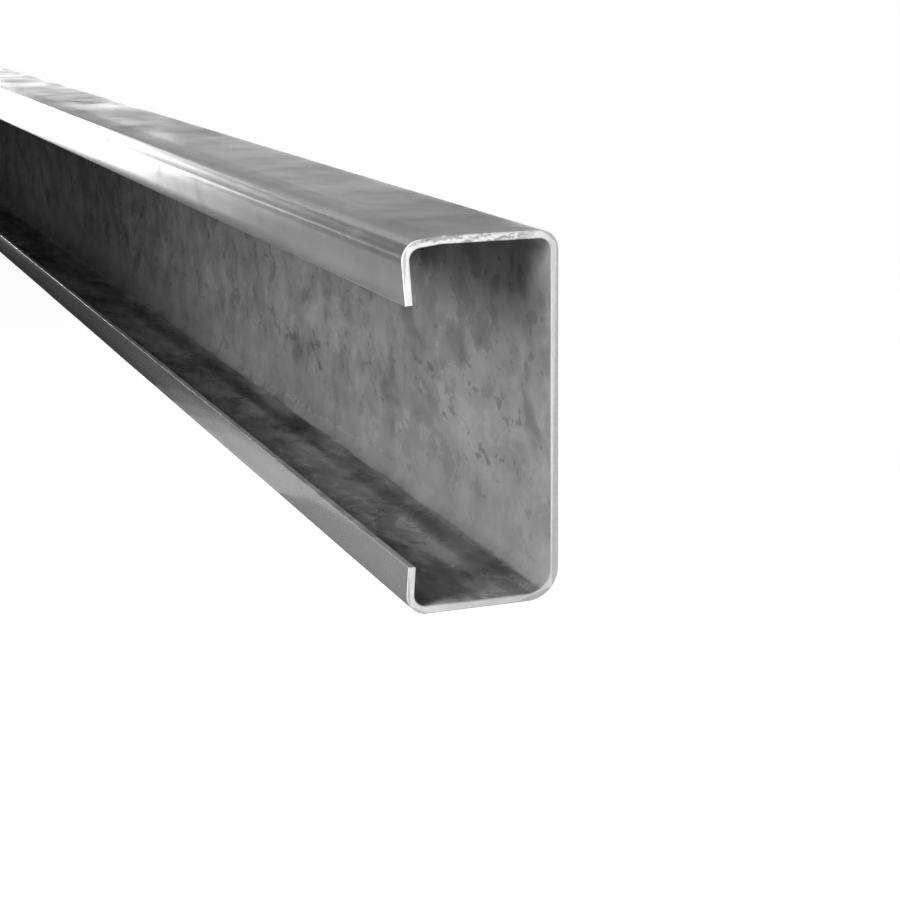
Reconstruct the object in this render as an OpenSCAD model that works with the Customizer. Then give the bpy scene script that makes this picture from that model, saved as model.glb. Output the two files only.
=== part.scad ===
// Lipped C channel, cold rolled from one strip of steel.
// It lies along Y on its lower flange, with its web at +X and its mouth towards -X.

/* [Section] */
// Depth of the channel, over the backs of its two flanges
depth = 150; // [100:1:300]
// Width of the channel, from the back of the web to the front of the lips
width = 65; // [45:1:120]
// Thickness of the strip that the channel is rolled from
strip_t = 3.2; // [1.5:0.1:4.5]
// Depth of the upper lip, from the back of the upper flange
upper_lip = 26.5; // [20:0.5:40]
// Depth of the lower lip, from the back of the lower flange
lower_lip = 20; // [18:0.5:40]
// Rounding of the corners along the strip's two slit edges
edge_r = 0.4; // [0.1:0.1:0.7]

/* [Bends] */
// Inside radius between the web and the upper flange
upper_heel_r = 5; // [2:0.5:9]
// Inside radius between the web and the lower flange
lower_heel_r = 10; // [2:0.5:12]
// Inside radius between the upper flange and its lip
upper_lip_r = 5; // [2:0.5:9]
// Inside radius between the lower flange and its lip
lower_lip_r = 5; // [2:0.5:9]
// Lean of the upper lip towards the web, in degrees past square
upper_lean = 4; // [0:0.5:8]
// Lean of the lower lip towards the web, in degrees past square
lower_lean = 4; // [0:0.5:8]

/* [Upper flange] */
// Slope of the upper flange's outer strip, down towards its lip, in degrees
slope = 6.2; // [0:0.1:8]
// Width of the sloping strip, between its two bends
slope_run = 8; // [4:0.5:12]
// Inside radius of the soft bend where the slope starts
slope_r = 20; // [10:1:30]

/* [Length] */
// Length of the channel, between its two square-cut ends
length = 3000; // [500:50:6000]

/* [Hidden] */
$fn = 96;

// Radius at the back of a bend: its inside radius and the strip's thickness
function back_r(inside_r) = inside_r + strip_t;

// Strip bent about the origin, from the -Y axis round to the +X axis and some degrees past it
module bend(inside_r, past_square) {
    reach = 2 * back_r(inside_r);
    intersection() {
        difference() {
            circle(back_r(inside_r));
            circle(inside_r);
        }
        translate([0, -reach]) square([reach, 2 * reach]);
        rotate(past_square) translate([-reach, -reach]) square([2 * reach, reach]);
    }
}

// Quarter disc that rounds one corner of a slit edge, about its own centre
module slit_corner() {
    intersection() {
        circle(edge_r);
        square(edge_r);
    }
}

// Straight strip along +Y that ends in a slit edge with rounded corners
module slit_strip(run) {
    square([strip_t, run - edge_r]);
    translate([edge_r, run - edge_r]) {
        square([strip_t - 2 * edge_r, edge_r]);
        mirror([1, 0]) slit_corner();
        translate([strip_t - 2 * edge_r, 0]) slit_corner();
    }
}

// Lip bend and lip, from the end of a flange that the frame has turned by the given degrees.
// The bend's centre stands below the lip's free edge by drop.
module toe(lip_r, lean, turned, drop) {
    run = (drop - back_r(lip_r) * sin(lean)) / cos(lean);
    bend(lip_r, lean - turned);
    rotate(lean - turned) translate([lip_r, 0]) slit_strip(run);
}

// Heel bend, flat flange and toe. The backs of the web and the flange would
// meet at the origin, the flange runs along +X and the lip turns towards +Y.
module flat_arm(heel_r, lip_r, lip, lean) {
    heel = back_r(heel_r);
    flat = width - heel - back_r(lip_r);
    translate([heel, heel]) mirror([1, 0]) bend(heel_r, 0);
    translate([heel, 0]) {
        square([flat, strip_t]);
        translate([flat, back_r(lip_r)]) toe(lip_r, lean, 0, lip - back_r(lip_r));
    }
}

// The same arm with a soft bend in its flange and a sloping strip before the toe
module sloping_arm(heel_r, lip_r, lip, lean) {
    heel = back_r(heel_r);
    rise = back_r(slope_r) - back_r(lip_r);
    flat = width - heel - slope_run * cos(slope) - rise * sin(slope) - back_r(lip_r);
    centre = back_r(slope_r) + slope_run * sin(slope) - rise * cos(slope);
    translate([heel, heel]) mirror([1, 0]) bend(heel_r, 0);
    translate([heel, 0]) {
        square([flat, strip_t]);
        translate([flat, back_r(slope_r)]) {
            bend(slope_r, slope - 90);
            rotate(slope) translate([0, -back_r(slope_r)]) {
                square([slope_run, strip_t]);
                translate([slope_run, back_r(lip_r)]) toe(lip_r, lean, slope, lip - centre);
            }
        }
    }
}

// Whole cross-section: X is across the channel and Y is up from its lower flange
module section() {
    web_foot = back_r(lower_heel_r);
    web_head = depth - back_r(upper_heel_r);
    translate([width / 2 - strip_t, web_foot]) square([strip_t, web_head - web_foot]);
    translate([width / 2, depth]) rotate(180) {
        if (slope > 0)
            sloping_arm(upper_heel_r, upper_lip_r, upper_lip, upper_lean);
        else
            flat_arm(upper_heel_r, upper_lip_r, upper_lip, upper_lean);
    }
    translate([width / 2, 0]) mirror([1, 0])
        flat_arm(lower_heel_r, lower_lip_r, lower_lip, lower_lean);
}

// The channel, rolled as one piece and cut square at both ends
module channel() {
    color("#8f9295") rotate([90, 0, 0])
        linear_extrude(height = length, center = true) section();
}

channel();
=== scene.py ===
"""Lipped C channel of bare mill-finish steel, cold rolled from one strip, on a pale studio floor."""

import logging
import math
from dataclasses import dataclass
from enum import Enum
from typing import Any

import bpy
from mathutils import Matrix, Vector


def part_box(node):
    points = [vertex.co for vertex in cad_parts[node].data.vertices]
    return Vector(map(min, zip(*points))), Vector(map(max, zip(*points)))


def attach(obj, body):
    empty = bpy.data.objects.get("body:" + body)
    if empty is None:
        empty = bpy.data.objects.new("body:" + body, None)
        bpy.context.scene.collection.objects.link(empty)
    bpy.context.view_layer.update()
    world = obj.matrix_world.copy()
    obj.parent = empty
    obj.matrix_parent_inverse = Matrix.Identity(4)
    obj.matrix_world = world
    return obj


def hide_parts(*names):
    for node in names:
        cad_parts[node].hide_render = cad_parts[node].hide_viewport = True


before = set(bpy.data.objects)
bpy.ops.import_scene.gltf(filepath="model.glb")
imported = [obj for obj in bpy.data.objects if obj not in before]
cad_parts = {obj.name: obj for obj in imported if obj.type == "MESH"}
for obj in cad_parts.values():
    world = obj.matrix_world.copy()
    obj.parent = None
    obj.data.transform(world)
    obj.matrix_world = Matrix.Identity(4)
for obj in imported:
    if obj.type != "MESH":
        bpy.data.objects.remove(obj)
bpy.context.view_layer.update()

MM = 0.001
ORIGIN = (0.0, 0.0, 0.0)
Socket = bpy.types.NodeSocket
Point = tuple[float, float, float]
Span = tuple[float, float]
log = logging.getLogger("channel")


class Face(Enum):
    """The kinds of surface that the strip shows, each with a finish of its own."""

    INSIDE = "mill_inside"
    OUTSIDE = "mill_outside"
    SLIT = "slit_edge"
    CUT = "cut_end"


class Graph:
    """A node tree, with short calls that add its nodes and wire them."""

    def __init__(self, tree: bpy.types.NodeTree) -> None:
        """Start on the tree, emptied."""
        tree.nodes.clear()
        self.tree = tree

    def add(self, kind: str, inputs: dict[Any, Any] | None = None, **settings: Any) -> bpy.types.Node:
        """Add one node.

        Args:
            kind: Blender's name for the kind of node.
            inputs: Plain values or sockets for its inputs, by name or number.
            settings: Properties of the node itself.

        Returns:
            The new node.
        """
        node = self.tree.nodes.new(kind)
        for name, value in settings.items():
            setattr(node, name, value)
        for key, value in (inputs or {}).items():
            self.feed(node.inputs[key], value)
        return node

    def feed(self, socket: Socket, value: Any) -> None:
        """Wire an input to a node's output, or set it to a plain value.

        Args:
            socket: The input.
            value: The other node's output, or the plain value.
        """
        if isinstance(value, Socket):
            self.tree.links.new(value, socket)
        else:
            socket.default_value = value

    def socket(self, name: str, kind: str, way: str = "INPUT") -> Any:
        """Return a new input or output of the tree, of the given kind."""
        return self.tree.interface.new_socket(name=name, in_out=way, socket_type="NodeSocket" + kind)

    def math(self, operation: str, a: Any, b: Any = 0.0, c: Any = 0.0) -> Socket:
        """Return a Math node's output for up to three values."""
        return self.add("ShaderNodeMath", {0: a, 1: b, 2: c}, operation=operation).outputs[0]

    def plus(self, a: Any, b: Any) -> Socket:
        """Return the sum of two values."""
        return self.math("ADD", a, b)

    def minus(self, a: Any, b: Any) -> Socket:
        """Return the first value less the second."""
        return self.math("SUBTRACT", a, b)

    def times(self, a: Any, b: Any) -> Socket:
        """Return the product of two values."""
        return self.math("MULTIPLY", a, b)

    def over(self, a: Any, b: Any) -> Socket:
        """Return the first value divided by the second."""
        return self.math("DIVIDE", a, b)

    def spot(self, x: Any = 0.0, y: Any = 0.0, z: Any = 0.0) -> Socket:
        """Return a vector put together from its parts."""
        return self.add("ShaderNodeCombineXYZ", {0: x, 1: y, 2: z}).outputs[0]

    def parts(self, vector: Any) -> list[Socket]:
        """Return a vector's three parts."""
        return list(self.add("ShaderNodeSeparateXYZ", {0: vector}).outputs)

    def vector(self, operation: str, a: Any, b: Any) -> Socket:
        """Return a Vector Math node's vector for two vectors."""
        return self.add("ShaderNodeVectorMath", {0: a, 1: b}, operation=operation).outputs[0]

    def scaled(self, a: Any, by: Any) -> Socket:
        """Return a vector times a number."""
        return self.add("ShaderNodeVectorMath", {0: a, "Scale": by}, operation="SCALE").outputs[0]


class ShaderGraph(Graph):
    """A shader tree, or a shader node group."""

    def remap(self, value: Any, low: float, high: float, to_low: Any = 0.0, to_high: Any = 1.0) -> Socket:
        """Return the value moved from one range to another, with soft ends."""
        ends = {"Value": value, "From Min": low, "From Max": high, "To Min": to_low, "To Max": to_high}
        return self.add("ShaderNodeMapRange", ends, interpolation_type="SMOOTHSTEP").outputs[0]

    def zone(self, girth: Socket, span: Span, before: float = 0.0, after: float = 1.0) -> Socket:
        """Return a value that eases from one to another over a span of the girth, in millimetres."""
        return self.remap(girth, span[0] * MM, span[1] * MM, before, after)

    def blend(self, share: Any, a: Any, b: Any) -> Socket:
        """Return the value that lies the given share of the way from a to b."""
        return self.add("ShaderNodeMix", {0: share, 2: a, 3: b}, data_type="FLOAT").outputs[0]

    def colour(self, share: Any, a: Any, b: Any) -> Socket:
        """Return the colour that lies the given share of the way from a to b."""
        return self.add("ShaderNodeMix", {0: share, 6: a, 7: b}, data_type="RGBA").outputs[2]

    def stretched(self, place: Any, across: Any, along: Any) -> Socket:
        """Return the place on the strip, measured in patches of the given size across and along it."""
        return self.vector("DIVIDE", place, self.spot(across, along, 1.0))

    def seeded(self, place: Any, seed: Any) -> Socket:
        """Return the place moved to a stretch of the pattern that belongs to the seed."""
        return self.vector("ADD", place, self.spot(self.times(seed, 17.3), seed))

    def noise(self, place: Any, detail: Any, rough: float, seed: Any = 0.0, warp: float = 0.0) -> Socket:
        """Add seeded noise, with one lump to each unit of place.

        Args:
            place: The place on the strip.
            detail: How many finer layers it has.
            rough: How strong the finer layers are, from 0 to 1.
            seed: The stretch of the pattern to use.
            warp: How much the lumps are bent.

        Returns:
            The noise, from 0 to 1.
        """
        look = {"Scale": 1.0, "Detail": detail, "Roughness": rough, "Distortion": warp}
        vector = {"Vector": self.seeded(place, seed)}
        return self.add("ShaderNodeTexNoise", {**vector, **look}, noise_dimensions="2D").outputs[0]


@dataclass(frozen=True)
class Effect:
    """A shader node group that lays one kind of mark on steel, shared by the finishes."""

    name: str
    inputs: dict[str, float | Point]
    output: str = "Mask"

    def open(self) -> tuple[ShaderGraph, bpy.types.NodeOutputs, bpy.types.Node]:
        """Make the empty group.

        Returns:
            Its graph, its inputs as the graph reads them, and its group output node.
        """
        graph = ShaderGraph(bpy.data.node_groups.new(self.name, "ShaderNodeTree"))
        for name, value in self.inputs.items():
            kind = "Vector" if isinstance(value, tuple) else "Float"
            graph.socket(name, kind).default_value = value
        graph.socket(self.output, "Float", "OUTPUT")
        return graph, graph.add("NodeGroupInput").outputs, graph.add("NodeGroupOutput")


class MarkLibrary:
    """The shader node groups for marks on steel, each built once."""

    def __init__(self) -> None:
        """Build every group."""
        self.clouds = self._clouds()
        self.blotches = self._blotches()
        self.lines = self._lines()
        self.wisps = self._wisps()
        self.band = self._band()

    def _clouds(self) -> bpy.types.NodeTree:
        """Build the group for soft cloudy patches.

        Returns:
            The group, which puts out a tone from -1 where the steel is darker to 1.
        """
        inputs = {"Place": ORIGIN, "Size": 0.05, "Stretch": 1.0, "Seed": 0.0}
        graph, given, end = Effect("Cloudy Patches", inputs, "Tone").open()
        place = graph.stretched(given["Place"], given["Size"], graph.times(given["Size"], given["Stretch"]))
        broad = graph.noise(place, 2.0, 0.5, given["Seed"], 0.2)
        small = graph.noise(graph.scaled(place, 3.3), 3.0, 0.55, graph.plus(given["Seed"], 11.3), 0.2)
        broad = graph.remap(broad, 0.32, 0.68, -1.0, 1.0)
        small = graph.remap(small, 0.3, 0.7, -1.0, 1.0)
        graph.feed(end.inputs[0], graph.blend(0.3, broad, small))
        return graph.tree

    def _blotches(self) -> bpy.types.NodeTree:
        """Build the group for ragged blotches that gather in clusters.

        Returns:
            The group, which puts out a mask, and does for large smudges and small specks alike.
        """
        shape = {"Size": 0.02, "Stretch": 1.0, "From": 0.6, "Edge": 0.1, "Ragged": 2.0, "Clustering": 0.4}
        graph, given, end = Effect("Blotches", {"Place": ORIGIN, **shape, "Seed": 0.0}).open()
        place = graph.stretched(given["Place"], given["Size"], graph.times(given["Size"], given["Stretch"]))
        lumps = graph.noise(place, given["Ragged"], 0.5, given["Seed"], 0.25)
        where = graph.noise(graph.scaled(place, 0.27), 2.0, 0.5, graph.plus(given["Seed"], 7.1))
        lift = graph.times(graph.minus(where, 0.5), given["Clustering"])
        level = graph.minus(graph.plus(lumps, lift), given["From"])
        graph.feed(end.inputs[0], graph.remap(graph.over(level, given["Edge"]), 0.0, 1.0))
        return graph.tree

    def _lines(self) -> bpy.types.NodeTree:
        """Build the group for fine lines that the rolls leave along the strip.

        Returns:
            The group, which puts out their height.
        """
        inputs = {"Place": ORIGIN, "Spacing": 0.0012, "Length": 0.5, "Seed": 0.0}
        graph, given, end = Effect("Rolling Lines", inputs, "Height").open()
        place = graph.stretched(given["Place"], given["Spacing"], given["Length"])
        graph.feed(end.inputs[0], graph.noise(place, 2.0, 0.6, given["Seed"]))
        return graph.tree

    def _wisps(self) -> bpy.types.NodeTree:
        """Build the group for thin light wisps where something has rubbed the steel.

        Returns:
            The group, which puts out a mask.
        """
        inputs = {"Place": ORIGIN, "Width": 0.03, "Length": 0.02, "Share": 0.4, "Seed": 0.0}
        graph, given, end = Effect("Light Wisps", inputs).open()
        place = graph.stretched(given["Place"], given["Width"], given["Length"])
        lumps = graph.noise(place, 2.5, 0.5, given["Seed"], 1.1)
        ridge = graph.math("ABSOLUTE", graph.minus(lumps, 0.5))
        thin = graph.remap(ridge, 0.0, 0.04, 1.0, 0.0)
        where = graph.noise(place, 1.0, 0.5, graph.plus(given["Seed"], 5.0))
        gate = graph.remap(graph.plus(where, graph.times(given["Share"], 0.5)), 0.75, 0.85)
        graph.feed(end.inputs[0], graph.times(thin, gate))
        return graph.tree

    def _band(self) -> bpy.types.NodeTree:
        """Build the group for one stripe along the strip, lighter or darker than the steel beside it.

        Returns:
            The group, which puts out what the steel's tone is multiplied by.
        """
        eases = {"Ease In": 0.001, "Ease Out": 0.001}
        inputs = {"Girth": 0.0, "Start": 0.0, "End": 0.01, **eases, "Tone": 1.0}
        graph, given, end = Effect("Girth Band", inputs, "Gain").open()
        rise = graph.over(graph.minus(given["Girth"], given["Start"]), given["Ease In"])
        fall = graph.over(graph.minus(given["End"], given["Girth"]), given["Ease Out"])
        inside = graph.times(graph.remap(rise, -0.5, 0.5), graph.remap(fall, -0.5, 0.5))
        graph.feed(end.inputs[0], graph.blend(inside, 1.0, given["Tone"]))
        return graph.tree


@dataclass(frozen=True)
class GirthBand:
    """A stripe along the strip, lighter or darker or more or less marked; many are painted light or shade.

    Its places and eases are in millimetres round the strip, from the upper lip's slit edge, and its
    tone is 1 where it is like the steel beside it.
    """

    start: float
    end: float
    ease_in: float
    ease_out: float
    tone: float

    def inputs(self) -> dict[str, float]:
        """Return its values for the group's inputs."""
        sizes = {"Start": self.start, "End": self.end, "Ease In": self.ease_in, "Ease Out": self.ease_out}
        return {**{name: size * MM for name, size in sizes.items()}, "Tone": self.tone}


class SteelGraph(ShaderGraph):
    """The graph of one of the steel's materials, with its shader and the shared marks at hand."""

    def __init__(self, name: str, marks: MarkLibrary) -> None:
        """Make the material.

        Args:
            name: Its name.
            marks: The shared groups of marks.
        """
        self.material = bpy.data.materials.new(name)
        self.material.use_nodes = True
        super().__init__(self.material.node_tree)
        self.marks = marks
        self.shader = self.add("ShaderNodeBsdfPrincipled")
        self.add("ShaderNodeOutputMaterial", {"Surface": self.shader.outputs[0]}).is_active_output = True

    def strip_place(self, apart: float = 0.0) -> tuple[Socket, Socket, Socket, Socket]:
        """Find the place on the strip.

        Args:
            apart: How far apart the patterns of the strip's two sides lie.

        Returns:
            The place for patterns, the girth, the place along the channel, and the side from -1 to 1.
        """
        strip = self.add("ShaderNodeAttribute", attribute_name="strip", attribute_type="GEOMETRY")
        girth, along, side = self.parts(strip.outputs["Vector"])
        across = self.plus(girth, self.times(side, apart / 2.0))
        return self.spot(across, along), girth, along, side

    def mark(self, group: bpy.types.NodeTree, place: Socket, **values: Any) -> Socket:
        """Return the output of a group of marks at a place, with its other inputs given by name."""
        return self.add("ShaderNodeGroup", {0: place, **values}, node_tree=group).outputs[0]

    def banded(self, girth: Socket, tone: Any, bands: tuple[GirthBand, ...]) -> Any:
        """Lay stripes along the strip over a tone, painted light and shade among them.

        Args:
            girth: The place round the strip.
            tone: The tone without them.
            bands: The stripes.

        Returns:
            The tone with them.
        """
        for band in bands:
            tone = self.times(tone, self.mark(self.marks.band, girth, **band.inputs()))
        return tone

    def paint(self, tone: Socket, roughness: Socket, metal: float) -> None:
        """Colour the steel.

        Args:
            tone: Its grey, where white is 1.
            roughness: Its roughness.
            metal: How much of it shines like bare metal, from 0 to 1.
        """
        grey = self.add("ShaderNodeCombineColor", {0: tone, 1: tone, 2: tone}).outputs[0]
        for name, value in (("Base Color", grey), ("Roughness", roughness), ("Metallic", metal)):
            self.feed(self.shader.inputs[name], value)

    def emboss(self, height: Socket, strength: float, depth: float) -> None:
        """Give the shader a relief of the given depth, in millimetres."""
        bump = self.add("ShaderNodeBump", {"Height": height, "Strength": strength, "Distance": depth * MM})
        self.feed(self.shader.inputs["Normal"], bump.outputs[0])


@dataclass(frozen=True)
class Finish:
    """What every finish of the steel has: its name, and how it is turned into a material."""

    name: str

    def material(self, marks: MarkLibrary) -> bpy.types.Material:
        """Build the finish's material.

        Args:
            marks: The shared groups of marks.

        Returns:
            The material.
        """
        graph = SteelGraph(self.name, marks)
        self.dress(graph)
        return graph.material

    def dress(self, graph: SteelGraph) -> None:
        """Wire the finish's own nodes to the shader."""
        raise NotImplementedError


@dataclass(frozen=True)
class MillFinish(Finish):
    """Bare strip as it leaves the mill: cloudy grey, with smudges, specks, rubbed wisps and rolling lines.

    Each kind of mark has its strength, and gloss is that of the scale, grazing how bright bare metal is
    along a flat glance, and shine how much smoother paler patches are. Sizes and places are in
    millimetres round the strip. The marks are drawn out along it from the lower heel on, specks are
    sparse high on the web, and marked lists the stripes where all marks are stronger or weaker. From
    one end of fade to the other, in metres along the channel, far_bands change the tone further.
    """

    name: str = Face.INSIDE.value
    seed: float = 0.0
    tone: float = 0.18
    metal: float = 0.2
    roughness: float = 0.4
    gloss: float = 0.0
    grazing: float = 0.02
    cloud: float = 0.18
    mottle: float = 0.16
    smudge: float = 0.34
    speck: float = 0.3
    wisp: float = 0.13
    lined: float = 0.25
    shine: float = 0.2
    cloud_size: float = 50.0
    mottle_size: float = 20.0
    drawn: Span = (1.2, 3.0)
    drawn_over: Span = (227.0, 227.2)
    speck_from: Span = (0.71, 0.64)
    speck_over: Span = (110.0, 200.0)
    marked: tuple[GirthBand, ...] = (
        GirthBand(198, 226, 16, 2, 0.5),
        GirthBand(227.5, 300, 4, 1, 2.1),
    )
    bands: tuple[GirthBand, ...] = (
        # painted shade: the web's upper part darker, under the upper lip and flange
        GirthBand(86, 160, 4, 35, 0.86),
        # painted light: the web's lower part lighter, where the lamps reach it through the channel's mouth
        GirthBand(203, 226, 12, 1.2, 1.12),
        # painted shade: a dark stripe in the lower heel's crease, where the lower lip's shadow falls
        GirthBand(227, 240, 1.6, 10, 0.68),
        # painted light: these two make the lower flange and lower lip lighter towards the channel's mouth
        GirthBand(241, 300, 6, 1, 1.28),
        GirthBand(256, 300, 6, 1, 1.25),
    )
    fade: Span = (-0.9, -0.45)
    # painted reflection: farther along, the lower heel lighter, standing in for light it mirrors from the
    # far open end
    far_bands: tuple[GirthBand, ...] = (GirthBand(226.5, 240, 1, 6, 2.2),)

    def dress(self, graph: SteelGraph) -> None:
        """Wire the finish's own nodes to the shader.

        Args:
            graph: The material's graph.
        """
        marks = graph.marks
        place, girth, along, _ = graph.strip_place()
        gain = graph.banded(girth, 1.0, self.marked)
        drawn = graph.zone(girth, self.drawn_over, *self.drawn)
        clouds, mottle = (
            graph.mark(marks.clouds, place, Size=size * MM, Stretch=drawn, Seed=self.seed + shift)
            for size, shift in ((self.cloud_size, 1.0), (self.mottle_size, 5.0))
        )
        smudges = self.smudges(graph, place, drawn)
        specks = self.specks(graph, place, girth)
        seed = self.seed
        wisps, scuffs = (
            graph.mark(marks.wisps, place, Width=wide * MM, Length=long * MM, Share=share, Seed=seed + shift)
            for wide, long, share, shift in ((36.0, 50.0, 0.5, 4.0), (14.0, 24.0, 0.4, 9.0))
        )
        lines = graph.mark(marks.lines, place, Spacing=1.1 * MM, Length=0.45, Seed=self.seed + 7.7)
        patches = graph.plus(graph.times(clouds, self.cloud), graph.times(mottle, self.mottle))
        patches = graph.times(patches, gain)
        rubbed = graph.times(graph.times(graph.plus(wisps, scuffs), self.wisp), gain)
        uneven = graph.plus(graph.plus(patches, rubbed), 1.0)
        calm = graph.math("MINIMUM", gain, 1.0)
        for mask, depth in ((smudges, self.smudge), (specks, self.speck)):
            dark = graph.times(graph.times(mask, depth), calm)
            uneven = graph.times(uneven, graph.minus(1.0, dark))
        # painted light and shade: far_bands ease in farther along the channel, from one end of fade to the
        # other
        faded = graph.banded(girth, 1.0, self.far_bands)
        further = graph.blend(graph.remap(along, *self.fade), 1.0, faded)
        # the bands include painted light and shade across the strip
        tone = graph.times(graph.times(graph.banded(girth, self.tone, self.bands), uneven), further)
        rough = graph.minus(self.roughness, graph.times(patches, self.shine))
        graph.paint(tone, graph.plus(rough, graph.times(smudges, 0.04)), self.metal)
        graph.shader.inputs["Specular IOR Level"].default_value = self.gloss
        graph.shader.inputs["Specular Tint"].default_value = (self.grazing, self.grazing, self.grazing, 1.0)
        graph.emboss(graph.minus(graph.times(lines, self.lined), graph.times(specks, gain)), 0.2, 0.04)

    def smudges(self, graph: SteelGraph, place: Socket, drawn: Socket) -> Socket:
        """Return the mask of its large smudges, drawn out along the strip."""
        shape = {"Size": 26.0 * MM, "From": 0.52, "Edge": 0.26, "Ragged": 2.5, "Clustering": 0.3}
        return graph.mark(graph.marks.blotches, place, **shape, Stretch=drawn, Seed=self.seed + 2.0)

    def specks(self, graph: SteelGraph, place: Socket, girth: Socket) -> Socket:
        """Scatter its small specks.

        Args:
            graph: The material's graph.
            place: The place on the strip.
            girth: The place round the strip.

        Returns:
            Their mask. They are sparse high on the web.
        """
        shape = {"Size": 5.0 * MM, "Stretch": 1.6, "Edge": 0.19, "Ragged": 2.0, "Clustering": 0.9}
        sparse = graph.zone(girth, self.speck_over, *self.speck_from)
        return graph.mark(graph.marks.blotches, place, **shape, From=sparse, Seed=self.seed + 3.0)


@dataclass(frozen=True)
class OuterFinish(MillFinish):
    """The outer side of the strip: brighter and glossier, where the rolls have pressed it smooth."""

    name: str = Face.OUTSIDE.value
    seed: float = 30.0
    tone: float = 0.51
    metal: float = 0.85
    roughness: float = 0.22
    gloss: float = 0.5
    grazing: float = 1.0
    cloud: float = 0.5
    mottle: float = 0.3
    smudge: float = 0.08
    speck: float = 0.12
    wisp: float = 0.06
    lined: float = 0.02
    shine: float = 0.06
    cloud_size: float = 140.0
    mottle_size: float = 75.0
    marked: tuple[GirthBand, ...] = (
        GirthBand(0, 30, 1, 8, 0.2),
        GirthBand(82, 276, 5, 6, 0.3),
        GirthBand(274, 300, 6, 1, 0.2),
    )
    bands: tuple[GirthBand, ...] = (
        # painted light: the upper lip's outer face lighter towards its slit edge, standing in for a
        # reflection
        GirthBand(0, 9, 1, 6, 1.12),
        # painted reflection: these two darken the upper lip's bend, for the dark band it mirrors and against
        # the lamps' highlight
        GirthBand(16.2, 19.2, 1, 0.8, 0.68),
        GirthBand(19.2, 22.6, 0.8, 1.4, 0.38),
        GirthBand(38, 60, 3, 10, 0.79),
        GirthBand(79.2, 88, 1, 1, 0.75),
    )
    fade: Span = (-1.25, -0.9)
    far_bands: tuple[GirthBand, ...] = (
        # painted highlight: farther along, the upper lip's bend lighter, where it mirrors the bright sky
        GirthBand(16.2, 19.2, 1, 0.8, 1.45),
        GirthBand(19.2, 22.6, 0.8, 1.4, 2.2),
        GirthBand(36, 58, 4, 8, 0.86),
        # painted shade: farther along, the lower lip's bend darker, standing in for the shaded floor it
        # mirrors
        GirthBand(277, 289, 2, 1, 0.78),
    )


@dataclass(frozen=True)
class SlitFinish(Finish):
    """The strip's slit edges: brighter, with fine lines along them."""

    name: str = Face.SLIT.value
    dark: float = 0.45
    light: float = 0.75

    def dress(self, graph: SteelGraph) -> None:
        """Wire the finish's own nodes to the shader.

        Args:
            graph: The material's graph.
        """
        place, *_ = graph.strip_place(3.2 * MM)
        clouds = graph.mark(graph.marks.clouds, place, Size=9.0 * MM, Stretch=2.5, Seed=6.0)
        lines = graph.mark(graph.marks.lines, place, Spacing=0.5 * MM, Length=0.1, Seed=2.2)
        tone = graph.remap(clouds, -0.8, 0.8, self.dark, self.light)
        graph.paint(tone, graph.remap(clouds, -1.0, 1.0, 0.46, 0.34), 0.8)
        graph.emboss(lines, 0.4, 0.05)


@dataclass(frozen=True)
class CutFinish(Finish):
    """The sheared ends: nearly white at the lips, duller over the rest, with torn grey patches.

    The torn patches lie on the upper flange and the rest is web and lower flange. Their borders are
    in millimetres round the strip.
    """

    name: str = Face.CUT.value
    clean: float = 0.9
    dull: float = 0.76
    lower: float = 0.82
    torn: float = 0.45
    # outline: how dark the painted burr shade along the cut face's rims is
    outline: float = 0.7
    grain: float = 0.05
    top_from: Span = (24.0, 30.0)
    top_to: Span = (66.0, 78.0)
    rest_from: Span = (76.0, 84.0)
    rest_to: Span = (262.0, 276.0)
    lower_from: Span = (225.0, 235.0)

    def dress(self, graph: SteelGraph) -> None:
        """Wire the finish's own nodes to the shader.

        Args:
            graph: The material's graph.
        """
        _, girth, _, side = graph.strip_place()
        spot = graph.spot(girth, graph.times(side, 1.6 * MM))
        patches = graph.mark(graph.marks.clouds, spot, Size=7.0 * MM, Stretch=0.35, Seed=8.0)
        grain = graph.mark(graph.marks.clouds, spot, Size=1.6 * MM, Stretch=0.6, Seed=12.0)
        top = graph.times(graph.zone(girth, self.top_from), graph.zone(girth, self.top_to, 1.0, 0.0))
        rest = graph.times(graph.zone(girth, self.rest_from), graph.zone(girth, self.rest_to, 1.0, 0.0))
        tone = graph.blend(rest, self.clean, self.dull)
        tone = graph.times(tone, graph.zone(girth, self.lower_from, 1.0, self.lower))
        ragged = graph.times(graph.remap(patches, -0.05, 0.25), top)
        tone = graph.blend(ragged, tone, self.torn)
        # painted shade: the cut face darker along its rims, the shade of the real shear burr there
        rim = graph.remap(graph.math("ABSOLUTE", side), 0.8, 1.0)
        inner_burr_shade = graph.times(graph.remap(side, -0.7, -0.95), rest)
        for edge in (rim, inner_burr_shade):
            tone = graph.times(tone, graph.blend(edge, 1.0, self.outline))
        tone = graph.times(tone, graph.plus(graph.times(grain, self.grain), 1.0))
        graph.paint(tone, graph.remap(patches, -1.0, 1.0, 0.5, 0.7), 0.0)
        graph.emboss(grain, 0.3, 0.1)


@dataclass(frozen=True)
class OutlinePoint:
    """One point of the section's outline, across and up.

    Outward is the way out of the steel and back the way from the strip's inside face to its back.
    Girth is how far round the strip it is, side is 1 on the strip's back and -1 on its inside face,
    and slit is 1 on a slit edge.
    """

    place: Vector
    outward: Vector
    back: Vector
    girth: float
    side: float
    slit: float


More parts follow.
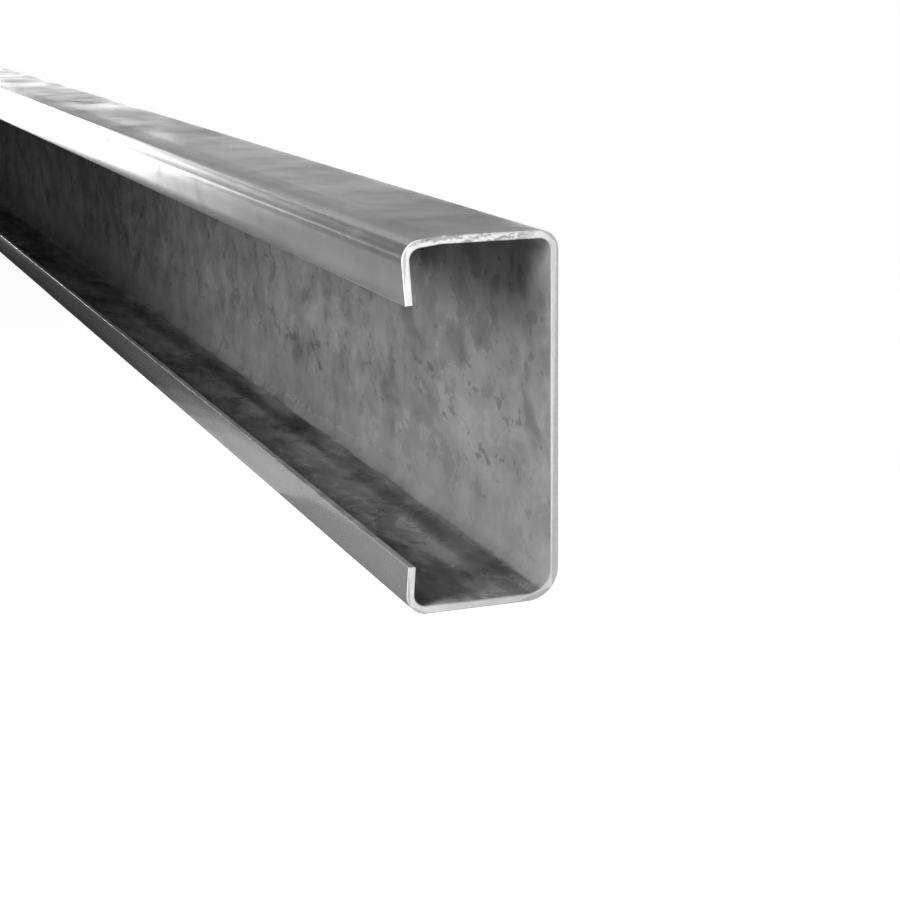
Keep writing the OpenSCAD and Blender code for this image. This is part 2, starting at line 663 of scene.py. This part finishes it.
@dataclass
class ChannelSection:
    """The channel's cross-section, walked along the back of its strip from slit edge to slit edge.

    Radii are inside ones, and angles are in degrees. Lean is past square, at both lips, and slope is
    that of the upper flange's outer strip.
    """

    depth: float
    width: float
    strip_t: float = 3.2 * MM
    upper_lip: float = 26.5 * MM
    lower_lip: float = 20.0 * MM
    edge_r: float = 0.4 * MM
    upper_heel_r: float = 5.0 * MM
    lower_heel_r: float = 10.0 * MM
    lip_r: float = 5.0 * MM
    lean: float = 4.0
    slope: float = 6.2
    slope_run: float = 8.0 * MM
    slope_r: float = 20.0 * MM
    flat_step: float = 5.0 * MM
    bend_step: float = 7.5
    corner_steps: int = 3

    def back_r(self, inside_r: float) -> float:
        """Return the radius at the back of a bend."""
        return inside_r + self.strip_t

    def step_count(self, size: float, turn: float) -> int:
        """Return in how many steps a flat or a bend is walked."""
        return max(2, math.ceil(turn / self.bend_step)) if turn else max(1, round(size / self.flat_step))

    def runs(self) -> list[tuple[float, float]]:
        """Work out the flats and bends that the rolls gave the strip.

        Returns:
            A flat's length with 0, or a bend's inside radius with its turn in degrees, one after another.
        """
        slope = math.radians(self.slope)
        lean = math.radians(self.lean)
        lip = self.back_r(self.lip_r)
        heel = self.back_r(self.upper_heel_r)
        foot = self.back_r(self.lower_heel_r)
        soft = self.back_r(self.slope_r)
        rise = soft - lip
        centre = soft + self.slope_run * math.sin(slope) - rise * math.cos(slope)
        upper_flat = self.width - heel - self.slope_run * math.cos(slope) - rise * math.sin(slope) - lip
        upper_run = (self.upper_lip - centre - lip * math.sin(lean)) / math.cos(lean)
        lower_run = (self.lower_lip - lip - lip * math.sin(lean)) / math.cos(lean)
        return [
            (upper_run - self.edge_r, 0.0),
            (self.lip_r, 90.0 + self.lean - self.slope),
            (self.slope_run, 0.0),
            (self.slope_r, self.slope),
            (upper_flat, 0.0),
            (self.upper_heel_r, 90.0),
            (self.depth - heel - foot, 0.0),
            (self.lower_heel_r, 90.0),
            (self.width - foot - lip, 0.0),
            (self.lip_r, 90.0 + self.lean),
            (lower_run - self.edge_r, 0.0),
        ]

    def walk(self) -> list[tuple[Vector, float, float]]:
        """Walk along the back of the strip.

        Returns:
            The points passed, each with its heading in radians and its girth at mid thickness.
        """
        at = Vector((0.0, 0.0))
        heading = math.radians(90.0 + self.lean)
        girth = self.edge_r
        passed = [(at.copy(), heading, girth)]
        for size, turn in self.runs():
            count = self.step_count(size, turn)
            part = math.radians(turn) / count
            chord = 2.0 * self.back_r(size) * math.sin(part / 2.0) if turn else size / count
            for _ in range(count):
                middle = heading - part / 2.0
                at += chord * Vector((math.cos(middle), math.sin(middle)))
                heading -= part
                girth += (size + self.strip_t / 2.0) * part if turn else size / count
                passed.append((at.copy(), heading, girth))
        return passed

    def outline(self) -> list[OutlinePoint]:
        """Draw the closed outline.

        Returns:
            Its points, up the back, round one slit edge, down the inside and round the other.
        """
        passed = self.walk()
        lowest = min(at.y for at, _, _ in passed)
        rightmost = max(at.x for at, _, _ in passed)
        shift = Vector((self.width / 2.0 - rightmost, -lowest))
        backs = []
        insides = []
        for at, heading, girth in passed:
            back = Vector((-math.sin(heading), math.cos(heading)))
            place = at + shift
            backs.append(OutlinePoint(place, back, back, girth, 1.0, 0.0))
            insides.append(OutlinePoint(place - back * self.strip_t, -back, back, girth, -1.0, 0.0))
        first = self.slit_edge(backs[0], -1.0)
        last = self.slit_edge(backs[-1], 1.0)
        return backs + last + insides[::-1] + first[::-1]

    def slit_edge(self, end: OutlinePoint, way: float) -> list[OutlinePoint]:
        """Round off one slit edge.

        Args:
            end: The last point on the strip's back before the edge's rounded corner.
            way: 1 at the end of the walk, -1 at its start.

        Returns:
            The edge's points between the strip's back and its inside face, in that order.
        """
        along = Vector((end.back.y, -end.back.x)) * way
        points = []
        for corner, depth in enumerate((self.edge_r, self.strip_t - self.edge_r)):
            centre = end.place - end.back * depth
            for step in range(1 - corner, self.corner_steps + 1 - corner):
                angle = math.radians(90.0) * (step / self.corner_steps + corner)
                outward = end.back * math.cos(angle) + along * math.sin(angle)
                place = centre + outward * self.edge_r
                side = 1.0 - 2.0 * (end.place - place).dot(end.back) / self.strip_t
                girth = end.girth + way * (place - end.place).dot(along)
                points.append(OutlinePoint(place, outward, end.back, girth, side, 1.0))
        return points


def put_in_scene(name: str, data: bpy.types.ID) -> bpy.types.Object:
    """Make an object.

    Args:
        name: Its name.
        data: Its mesh, light or camera.

    Returns:
        The object, in the scene.
    """
    thing = bpy.data.objects.new(name, data)
    bpy.context.scene.collection.objects.link(thing)
    return thing


@dataclass
class RolledChannel:
    """The channel itself: its section swept from end to end, and dressed face by face.

    Its cut edges are eased by edge_break, and its flats are as wavy as rolled strip is.
    """

    low: Vector
    high: Vector
    name: str = "rolled_channel"
    body: str = "root"
    cad_node: str = "channel"
    slot: str = "mill_steel"
    station_step: float = 10.0 * MM
    edge_break: float = 0.25 * MM
    wave_depth: float = 0.35 * MM
    wave_size: float = 0.18
    seed: int = 4

    @property
    def section(self) -> ChannelSection:
        """Return the section, at the depth and width that the frame gives."""
        return ChannelSection(depth=self.high.z - self.low.z, width=self.high.x - self.low.x)

    def outline_mesh(self) -> bpy.types.Mesh:
        """Make the section's outline.

        Returns:
            A ring of edges, with what each point knows of the strip.
        """
        points = self.section.outline()
        count = len(points)
        middle = (self.low.x + self.high.x) / 2.0
        ring = [(p.place.x + middle, 0.0, p.place.y + self.low.z) for p in points]
        mesh = bpy.data.meshes.new("section_outline")
        mesh.from_pydata(ring, [(i, (i + 1) % count) for i in range(count)], [])
        vectors = {
            "outline": ring,
            "outward": [(p.outward.x, 0.0, p.outward.y) for p in points],
            "back": [(p.back.x, 0.0, p.back.y) for p in points],
        }
        for name, values in vectors.items():
            layer = mesh.attributes.new(name, "FLOAT_VECTOR", "POINT")
            layer.data.foreach_set("vector", [c for value in values for c in value])
        for name in ("girth", "side", "slit"):
            layer = mesh.attributes.new(name, "FLOAT", "POINT")
            layer.data.foreach_set("value", [getattr(p, name) for p in points])
        return mesh

    def build(self, finishes: dict[Face, bpy.types.Material]) -> bpy.types.Object:
        """Sweep the section into the finished piece.

        Args:
            finishes: The material for each kind of face.

        Returns:
            The piece, a plain mesh with its place in its vertices.
        """
        outline = put_in_scene("section_outline", self.outline_mesh())
        length = self.high.y - self.low.y
        sizes = {
            "Length": length,
            "Stations": round(length / self.station_step) + 1,
            "Edge Break": self.edge_break,
            "Wave Depth": self.wave_depth,
            "Wave Size": self.wave_size,
            "Seed": self.seed,
        }
        materials = {SweptStrip.FINISHES[face]: material for face, material in finishes.items()}
        sweep = SweptStrip().modifier(outline, {**sizes, **materials})
        depsgraph = bpy.context.evaluated_depsgraph_get()
        mesh = bpy.data.meshes.new_from_object(outline.evaluated_get(depsgraph))
        mesh.name = self.name
        outline.modifiers.remove(sweep)
        bpy.data.objects.remove(outline)
        piece = put_in_scene(self.name, mesh)
        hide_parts(self.cad_node)
        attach(piece, self.body)
        names = ", ".join(material.name for material in mesh.materials)
        log.info("%s: %d faces, materials %s", piece.name, len(mesh.polygons), names)
        return piece


class SweptStrip(Graph):
    """The Geometry Nodes tree that sweeps the section's outline along the channel."""

    SIZES = {
        "Length": "Float",
        "Stations": "Int",
        "Edge Break": "Float",
        "Wave Depth": "Float",
        "Wave Size": "Float",
        "Seed": "Int",
    }
    FINISHES = {
        Face.INSIDE: "Inner Finish",
        Face.OUTSIDE: "Outer Finish",
        Face.SLIT: "Slit Finish",
        Face.CUT: "Cut Finish",
    }

    def __init__(self) -> None:
        """Build the tree."""
        super().__init__(bpy.data.node_groups.new("Swept Strip", "GeometryNodeTree"))
        materials = dict.fromkeys(self.FINISHES.values(), "Material")
        for name, kind in {"Geometry": "Geometry", **self.SIZES, **materials}.items():
            self.socket(name, kind)
        self.socket("Geometry", "Geometry", "OUTPUT")
        self.given = self.add("NodeGroupInput").outputs
        end = self.add("NodeGroupOutput")
        self.feed(end.inputs[0], self.finish(self.smooth(self.shape(self.sweep(self.path())))))

    def read(self, name: str, kind: str = "FLOAT") -> Socket:
        """Return a stored attribute."""
        node = self.add("GeometryNodeInputNamedAttribute", {"Name": name}, data_type=kind)
        return node.outputs["Attribute"]

    def store(self, geometry: Socket, name: str, value: Socket, kind: str = "FLOAT") -> Socket:
        """Return the geometry with a value stored on its points."""
        inputs = {"Geometry": geometry, "Name": name, "Value": value}
        return self.add("GeometryNodeStoreNamedAttribute", inputs, data_type=kind, domain="POINT").outputs[0]

    def move(self, geometry: Socket, place: Socket) -> Socket:
        """Return the geometry with its points moved."""
        return self.add("GeometryNodeSetPosition", {"Geometry": geometry, "Position": place}).outputs[0]

    def path(self) -> Socket:
        """Draw the line that the section is swept along.

        Returns:
            The line, with one short step at each end for the edge break.
        """
        half = self.times(self.given["Length"], 0.5)
        ends = {"Start": self.spot(y=self.times(half, -1.0)), "End": self.spot(y=half)}
        line = self.add("GeometryNodeCurvePrimitiveLine", ends).outputs[0]
        count = {"Curve": line, "Count": self.given["Stations"]}
        stations = self.add("GeometryNodeResampleCurve", count).outputs[0]
        index = self.add("GeometryNodeInputIndex").outputs[0]
        last = self.minus(self.given["Stations"], 1.0)
        share = self.over(self.minus(index, 1.0), self.minus(last, 2.0))
        inner = self.minus(half, self.given["Edge Break"])
        between = self.times(self.minus(self.times(share, 2.0), 1.0), inner)
        held = self.math("MINIMUM", self.math("MAXIMUM", between, self.times(inner, -1.0)), inner)
        at_near = self.math("LESS_THAN", index, 0.5)
        at_far = self.math("GREATER_THAN", index, self.minus(last, 0.5))
        end = self.minus(at_far, at_near)
        along = self.math("MULTIPLY_ADD", end, self.given["Edge Break"], held)
        marked = self.store(self.move(stations, self.spot(y=along)), "along", along)
        return self.store(marked, "end", self.math("ABSOLUTE", end))

    def sweep(self, path: Socket) -> Socket:
        """Sweep the outline along the path.

        Args:
            path: The line.

        Returns:
            The mesh, closed at both ends.
        """
        ring = self.add("GeometryNodeMeshToCurve", {"Mesh": self.given["Geometry"]}).outputs[0]
        inputs = {"Curve": path, "Profile Curve": ring, "Fill Caps": True}
        return self.add("GeometryNodeCurveToMesh", inputs).outputs[0]

    def shape(self, mesh: Socket) -> Socket:
        """Put every point where the section has it.

        Args:
            mesh: The swept mesh.

        Returns:
            The mesh, with its ends eased and its flats slightly wavy.
        """
        along = self.read("along")
        girth = self.read("girth")
        size = self.given["Wave Size"]
        spot = self.spot(self.over(girth, size), self.over(along, size))
        inputs = {"Vector": spot, "W": self.given["Seed"], "Scale": 1.0, "Detail": 1.0}
        noise = self.add("ShaderNodeTexNoise", inputs, noise_dimensions="4D").outputs[0]
        wave = self.times(noise, self.given["Wave Depth"])
        ease = self.times(self.read("end"), self.given["Edge Break"])
        place = self.vector("ADD", self.read("outline", "FLOAT_VECTOR"), self.spot(y=along))
        for way, depth in (("outward", ease), ("back", wave)):
            place = self.vector("SUBTRACT", place, self.scaled(self.read(way, "FLOAT_VECTOR"), depth))
        strip = self.spot(girth, along, self.read("side"))
        return self.store(self.move(mesh, place), "strip", strip, "FLOAT_VECTOR")

    def smooth(self, mesh: Socket) -> Socket:
        """Shade the mesh smooth.

        Args:
            mesh: The mesh.

        Returns:
            The mesh, smooth but for its real edges.
        """
        angle = self.add("GeometryNodeInputMeshEdgeAngle").outputs["Unsigned Angle"]
        sharp = self.math("GREATER_THAN", angle, math.radians(30.0))
        shade = "GeometryNodeSetShadeSmooth"
        soft = self.add(shade, {"Geometry": mesh, "Shade Smooth": True}, domain="FACE").outputs[0]
        crisp = {"Geometry": soft, "Selection": sharp, "Shade Smooth": False}
        return self.add(shade, crisp, domain="EDGE").outputs[0]

    def finish(self, mesh: Socket) -> Socket:
        """Set the finishes.

        Args:
            mesh: The mesh.

        Returns:
            The mesh, each kind of face in its own material.
        """
        facing = self.parts(self.add("GeometryNodeInputNormal").outputs[0])[1]
        wheres = {
            Face.INSIDE: True,
            Face.OUTSIDE: self.math("GREATER_THAN", self.read("side"), 0.0),
            Face.SLIT: self.math("GREATER_THAN", self.read("slit"), 0.5),
            Face.CUT: self.math("GREATER_THAN", self.math("ABSOLUTE", facing), 0.5),
        }
        real = self.add("GeometryNodeRealizeInstances", {"Geometry": mesh}).outputs[0]
        for face, where in wheres.items():
            inputs = {"Geometry": real, "Selection": where, "Material": self.given[self.FINISHES[face]]}
            real = self.add("GeometryNodeSetMaterial", inputs).outputs[0]
        return real

    def modifier(self, target: bpy.types.Object, values: dict[str, Any]) -> bpy.types.Modifier:
        """Put the tree on an object.

        Args:
            target: The object that holds the section's outline.
            values: The tree's inputs, by name.

        Returns:
            The modifier.
        """
        modifier = target.modifiers.new("sweep", "NODES")
        modifier.node_group = self.tree
        for item in self.tree.interface.items_tree:
            if item.in_out == "INPUT" and item.name in values:
                modifier[item.identifier] = values[item.name]
        return modifier


@dataclass(frozen=True)
class SoftLamp:
    """A square soft lamp that looks at a point, with a face as bright as its radiance, where white is 1."""

    name: str
    place: Point
    aim: Point
    size: float
    radiance: float

    def hang(self) -> bpy.types.Object:
        """Hang the lamp.

        Returns:
            The lamp, in the scene.
        """
        light = bpy.data.lights.new(self.name, "AREA")
        light.shape = "SQUARE"
        light.size = self.size
        light.energy = self.radiance * math.pi * self.size**2
        lamp = put_in_scene(self.name, light)
        lamp.location = self.place
        lamp.rotation_euler = (Vector(self.aim) - Vector(self.place)).to_track_quat("-Z", "Y").to_euler()
        return lamp


def stage_faces(name: str, faces: list[list[Point]]) -> tuple[bpy.types.Object, ShaderGraph]:
    """Make something of the stage from flat faces.

    Args:
        name: Its name.
        faces: The four corners of each face.

    Returns:
        The object, and the graph of its material.
    """
    material = bpy.data.materials.new(name)
    material.use_nodes = True
    mesh = bpy.data.meshes.new(name)
    corners = [corner for face in faces for corner in face]
    mesh.from_pydata(corners, [], [range(first, first + 4) for first in range(0, len(corners), 4)])
    mesh.materials.append(material)
    thing = put_in_scene(name, mesh)
    return thing, ShaderGraph(material.node_tree)


@dataclass(frozen=True)
class Card:
    """A flat card on the floor that only reflections show.

    Layers are counted up from the floor, and a glow of 1 is white.
    """

    name: str
    low: Span
    high: Span
    layer: int
    glow: float

    def corners(self) -> list[list[Point]]:
        """Return the corners of each of its faces."""
        (x0, y0), (x1, y1), z = self.low, self.high, 0.1 * MM * self.layer
        return [[(x0, y0, z), (x1, y0, z), (x1, y1, z), (x0, y1, z)]]

    def place(self) -> bpy.types.Object:
        """Put the card in its place.

        Returns:
            The card, in the scene.
        """
        card, graph = stage_faces(self.name, self.corners())
        glow = graph.add("ShaderNodeEmission", {"Strength": self.glow})
        graph.add("ShaderNodeOutputMaterial", {"Surface": glow.outputs[0]})
        card.visible_camera = False
        card.visible_diffuse = False
        card.visible_shadow = False
        return card


@dataclass(frozen=True)
class Flag(Card):
    """A tall curved flag far from the channel that dims or brightens one part of the light from all round.

    Low and high are bearings, clockwise from +Y, and heights, in degrees. Layers are counted inwards.
    """

    def corners(self) -> list[list[Point]]:
        """Bend the flag round the channel.

        Returns:
            The corners of each of its faces.
        """
        reach = 28.0 - self.layer
        spread = self.high[0] - self.low[0]
        steps = max(1, round(spread / 6.0))
        turns = [math.radians(self.low[0] + spread * i / steps) for i in range(steps + 1)]
        foot, head = (reach * math.tan(math.radians(angle)) for angle in (self.low[1], self.high[1]))
        edge = [(reach * math.sin(turn), reach * math.cos(turn)) for turn in turns]
        return [[(*a, foot), (*b, foot), (*b, head), (*a, head)] for a, b in zip(edge, edge[1:])]

    def place(self) -> bpy.types.Object:
        """Hang the flag.

        Returns:
            The flag, in the scene.
        """
        flag = super().place()
        flag.visible_diffuse = True
        flag.visible_shadow = True
        return flag


@dataclass(frozen=True)
class Screen(Card):
    """A dark upright screen beside the channel that keeps the lamps off its far part."""

    height: float = 0.8

    def corners(self) -> list[list[Point]]:
        """Return the corners of its one face."""
        return [[(*self.low, 0.0), (*self.high, 0.0), (*self.high, self.height), (*self.low, self.height)]]

    def place(self) -> bpy.types.Object:
        """Stand the screen up.

        Returns:
            The screen, in the scene.
        """
        screen = super().place()
        screen.visible_shadow = True
        screen.visible_glossy = False
        return screen


@dataclass(frozen=True)
class Viewpoint:
    """Where the camera stands and looks, from the foot of the channel's near end, in metres and degrees."""

    offset: Point = (-0.2814, -0.7322, 0.2523)
    azimuth: float = -20.09
    elevation: float = 13.45
    roll: float = -0.64
    lens: float = 82.2
    sensor: float = 36.0

    def matrix(self, near_end: Vector) -> Matrix:
        """Work out the camera's place and turn.

        Args:
            near_end: The middle of the near end, on the floor.

        Returns:
            The camera's matrix.
        """
        azimuth, elevation, roll = map(math.radians, (self.azimuth, self.elevation, self.roll))
        level = math.cos(elevation)
        ahead = Vector((-math.sin(azimuth) * level, math.cos(azimuth) * level, -math.sin(elevation)))
        across = ahead.cross(Vector((0.0, 0.0, 1.0))).normalized()
        right = across * math.cos(roll) + across.cross(ahead) * math.sin(roll)
        turn = Matrix((right, right.cross(ahead), -ahead)).transposed().to_4x4()
        return Matrix.Translation(near_end + Vector(self.offset)) @ turn


@dataclass
class Studio:
    """The pale floor, the soft lamps, the cards round the channel and the camera.

    Bounce is the floor's colour for the light that it throws back, and the other rays see shown and
    floor_glow. Horizon_top and zenith_from are heights at which straight overhead is 1.
    """

    low: Vector
    high: Vector
    floor_size: float = 80.0
    bounce: tuple[float, ...] = (0.6, 0.6, 0.6, 1.0)
    shown: tuple[float, ...] = (0.3, 0.3, 0.3, 1.0)
    floor_glow: float = 0.94
    horizon: float = 0.8
    shown_horizon: float = 1.0
    zenith: float = 0.12
    horizon_top: float = 0.12
    zenith_from: float = 0.8
    lamps: tuple[SoftLamp, ...] = (
        SoftLamp("near_lamp", (-0.8, -1.7, 0.29), (0, -1.4, 0.08), 0.3, 22),
        SoftLamp("high_lamp", (-0.8, -1.7, 0.45), (0, -1.4, 0.08), 0.3, 17),
        SoftLamp("close_lamp", (-0.5, -1.75, 0.43), (0, -1.4, 0.08), 0.2, 13),
        SoftLamp("low_lamp", (-0.8, -1.8, 0.15), (0, -1.4, 0.08), 0.25, 9),
        SoftLamp("far_lamp", (-1, -0.25, 0.2), (0, -0.5, 0.08), 0.5, 2.7),
    )
    cards: tuple[Card, ...] = (
        Card("dark_mat", (-12, -12), (-0.17, 12), 1, 0),
        # painted shadow: dark_strip is the floor beside the channel as its metal mirrors it, dark where the
        # floor's glow hides the contact shadow
        Card("dark_strip", (-0.17, -1.12), (-0.027, 12), 1, 0.05),
        Card("near_mat", (-0.17, -1.5), (-0.027, -1.3), 3, 0.22),
        Card("pale_mat", (-0.17, -1.3), (-0.027, -1.15), 3, 0.46),
        Card("dimmer_mat", (-0.17, -1.15), (-0.027, -1.11), 3, 0.36),
        Card("fading_mat", (-0.17, -1.11), (-0.027, -1.07), 3, 0.24),
        Card("faded_mat", (-0.17, -1.07), (-0.027, -1.02), 3, 0.13),
        Card("side_mat", (-0.32, -1.3), (-0.17, -0.45), 3, 0.2),
        Card("rising_card", (-0.32, -0.45), (-0.18, -0.2), 3, 0.7),
        Card("glow_card", (-0.32, -0.2), (-0.18, 0.05), 3, 1.3),
        Card("far_card", (-0.33, 0.05), (-0.2, 0.6), 3, 5.5),
        Card("farther_card", (-0.33, 0.6), (-0.2, 2.5), 3, 5),
        Card("wide_card", (-0.42, 0.5), (-0.33, 1), 3, 11),
        Card("wider_card", (-0.52, 1), (-0.33, 1.6), 3, 10),
        Card("widest_card", (-0.8, 1.6), (-0.33, 4), 3, 7),
        Card("horizon_card", (-2.2, 4), (-0.33, 12), 3, 6),
        Flag("left_flag", (-180, 0), (-8, 60), 1, 0),
        Flag("skyline_flag", (-12, 0), (-8, 4), 3, 3),
        Flag("mist_flag", (-11.5, 4), (-8, 8), 3, 3),
        Flag("level_flag", (-8, 0), (5, 4), 3, 8.5),
        Flag("soft_flag", (-8, 4), (5, 10), 3, 11),
        Flag("upper_flag", (-8, 10), (5, 24), 3, 0.4),
        Flag("bright_flag", (5, 0), (8, 4), 3, 9.5),
        Flag("low_flag", (8, 0), (13, 4), 3, 4),
        Flag("pale_flag", (5, 4), (12, 10), 3, 0.25),
        Flag("high_flag", (5, 10), (12, 24), 3, 0.35),
        Flag("grey_flag", (12, 4), (24, 24), 3, 0.28),
        Flag("side_flag", (13, 0), (24, 4), 3, 1.9),
        Screen("lamp_screen", (-0.4, -1.25), (-0.4, 1), 1, 0),
    )

    @staticmethod
    def seen(graph: ShaderGraph) -> Socket:
        """Tell the rays that show the background from those that light.

        Args:
            graph: The floor's or the world's graph.

        Returns:
            1 on rays that show the background, straight or mirrored, else 0.
        """
        path = graph.add("ShaderNodeLightPath")
        seen = graph.math("MAXIMUM", path.outputs["Is Camera Ray"], path.outputs["Is Glossy Ray"])
        return graph.math("MAXIMUM", seen, path.outputs["Is Transmission Ray"])

    def floor(self) -> bpy.types.Object:
        """Lay the floor.

        Returns:
            The floor that the channel lies on.
        """
        half = self.floor_size / 2.0
        around = ((-half, -half), (half, -half), (half, half), (-half, half))
        floor, graph = stage_faces("floor", [[(x, y, self.low.z) for x, y in around]])
        seen = self.seen(graph)
        paint = graph.add("ShaderNodeBsdfDiffuse", {"Color": graph.colour(seen, self.bounce, self.shown)})
        glow = graph.add("ShaderNodeEmission", {"Strength": graph.times(seen, self.floor_glow)})
        both = graph.add("ShaderNodeAddShader", {0: paint.outputs[0], 1: glow.outputs[0]})
        graph.add("ShaderNodeOutputMaterial", {"Surface": both.outputs[0]})
        return floor

    def world(self) -> None:
        """Set the even light from all round, pale along the horizon and dimmer overhead."""
        world = bpy.data.worlds.new("studio")
        world.use_nodes = True
        graph = ShaderGraph(world.node_tree)
        height = graph.parts(graph.add("ShaderNodeTexCoord").outputs["Generated"])[2]
        horizon = graph.blend(self.seen(graph), self.horizon, self.shown_horizon)
        level = graph.remap(height, self.horizon_top, self.zenith_from, horizon, self.zenith)
        glow = graph.add("ShaderNodeBackground", {"Color": (1.0, 1.0, 1.0, 1.0), "Strength": level})
        graph.add("ShaderNodeOutputWorld", {"Surface": glow.outputs[0]})
        bpy.context.scene.world = world

    def camera(self) -> bpy.types.Object:
        """Set up the camera.

        Returns:
            The camera, low and close to the channel's near end.
        """
        near_end = Vector(((self.low.x + self.high.x) / 2.0, self.low.y, self.low.z))
        view = Viewpoint()
        camera = put_in_scene("camera", bpy.data.cameras.new("camera"))
        camera.data.lens = view.lens
        camera.data.sensor_width = view.sensor
        camera.data.clip_start = 0.05
        camera.data.clip_end = 100.0
        camera.matrix_world = view.matrix(near_end)
        bpy.context.scene.camera = camera
        return camera

    def build(self) -> None:
        """Set up the floor, the light, the camera and plain colour handling."""
        self.floor()
        self.world()
        for lamp in self.lamps:
            lamp.hang()
        for card in self.cards:
            card.place()
        self.camera()
        bpy.context.scene.view_settings.view_transform = "Standard"
        log.info("studio: floor, camera, %d lamps and %d cards", len(self.lamps), len(self.cards))


def main() -> None:
    """Build the channel and the studio round it."""
    logging.basicConfig(level=logging.INFO, format="%(name)s: %(message)s")
    low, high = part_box("channel")
    marks = MarkLibrary()
    finishes = {
        Face.INSIDE: MillFinish().material(marks),
        Face.OUTSIDE: OuterFinish().material(marks),
        Face.SLIT: SlitFinish().material(marks),
        Face.CUT: CutFinish().material(marks),
    }
    RolledChannel(low, high).build(finishes)
    Studio(low, high).build()


if __name__ == "__main__":
    main()
